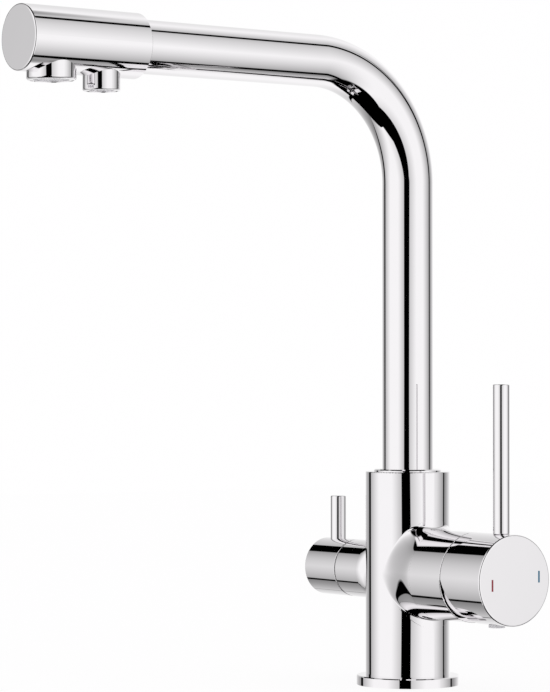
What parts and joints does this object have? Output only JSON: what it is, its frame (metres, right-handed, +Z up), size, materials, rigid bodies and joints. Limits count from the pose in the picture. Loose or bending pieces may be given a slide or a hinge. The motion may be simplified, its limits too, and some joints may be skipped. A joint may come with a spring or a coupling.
{
  "type": "three way kitchen tap",
  "caption": "Deck-mounted kitchen tap with a bent swivel spout, separate mixed and filtered outlets, a side lever mixer and a filtered water knob.",
  "frame": {"origin": "centre of the base flange on the worktop, on the column axis", "axes": "+Z up along the column; the spout points along -Y at rest; the mixer branch is along +X and the filtered water branch along -X"},
  "size_m": [0.1644, 0.2774, 0.3566],
  "materials": {
    "chrome_on_brass": "polished nickel-chrome plate on brass",
    "bare_brass": "machined",
    "black_rubber": "moulded EPDM",
    "white_ceramic": "lapped alumina",
    "grey_cartridge_plastic": "moulded",
    "slide_plastic": "turned acetal",
    "steel": "turned stainless steel",
    "white_hose": "extruded polyethylene",
    "light_grey_plastic": "moulded",
    "red_enamel": "gloss inlay",
    "blue_enamel": "gloss inlay"
  },
  "bodies": {
    "column": {"base_flange": "chrome_on_brass", "base_gasket": "black_rubber", "tap_body": "chrome_on_brass", "slip_ring": "chrome_on_brass", "spout_lock_screw": "steel", "cartridge_base": "grey_cartridge_plastic", "port_seals": "black_rubber", "fixed_disc": "white_ceramic", "cartridge_body": "grey_cartridge_plastic", "cartridge_nut": "bare_brass", "dome_ring": "chrome_on_brass", "filter_headwork": "bare_brass", "headwork_o_ring": "black_rubber", "filter_seat_seal": "black_rubber", "filter_fixed_disc": "white_ceramic"},
    "spout": {"spout_bush": "bare_brass", "spout_o_rings": "black_rubber", "lower_guide_ring": "slide_plastic", "spout_tube": "chrome_on_brass", "filtered_water_tube": "white_hose", "filter_swivel": "bare_brass", "filter_swivel_o_ring": "black_rubber", "filter_tube_fitting": "bare_brass", "spout_head": "chrome_on_brass", "head_end_cap": "chrome_on_brass", "head_adapter": "bare_brass", "head_o_ring": "black_rubber", "aerator_sleeve": "chrome_on_brass", "aerator_insert": "light_grey_plastic", "aerator_seal": "black_rubber", "nozzle_sleeve": "chrome_on_brass", "nozzle_insert": "light_grey_plastic", "nozzle_seal": "black_rubber"},
    "cartridge_turn": {"turning_guide": "grey_cartridge_plastic", "pivot_pin": "steel"},
    "cartridge_slide": {"moving_disc": "white_ceramic", "disc_carrier": "grey_cartridge_plastic"},
    "handle": {"cartridge_stem": "steel", "mixer_handle": "chrome_on_brass", "hot_mark": "red_enamel", "cold_mark": "blue_enamel", "lever_rod": "chrome_on_brass", "handle_grub_screw": "steel", "grub_plug": "light_grey_plastic"},
    "filter_turner": {"filter_turning_disc": "white_ceramic", "filter_spindle": "bare_brass", "spindle_o_ring": "black_rubber", "filter_knob": "chrome_on_brass", "filter_pin": "chrome_on_brass", "knob_grub_screw": "steel"}
  },
  "joints": [
    {"name": "spout_swivel", "type": "hinge", "parent": "column", "child": "spout", "pos_m": [0, 0, 0.1], "axis": [0, 0, 1], "range_deg": [-180, 180]},
    {"name": "temperature_turn", "type": "hinge", "parent": "column", "child": "cartridge_turn", "pos_m": [0.0578, 0, 0.0615], "axis": [1, 0, 0], "range_deg": [-45, 45]},
    {"name": "flow_lift", "type": "hinge", "parent": "cartridge_turn", "child": "handle", "pos_m": [0.0578, 0, 0.0615], "axis": [0, 1, 0], "range_deg": [0, 20]},
    {"name": "disc_slide", "type": "slide", "parent": "cartridge_turn", "child": "cartridge_slide", "axis": [0, 0, 1], "range_m": [0, 0.00462]},
    {"name": "filter_turn", "type": "hinge", "parent": "column", "child": "filter_turner", "pos_m": [-0.0636, 0, 0.0615], "axis": [1, 0, 0], "range_deg": [0, 90]}
  ],
  "couplings": [
    {"joint": "disc_slide", "follows": "flow_lift", "m_per_rad": 0.013227}
  ]
}
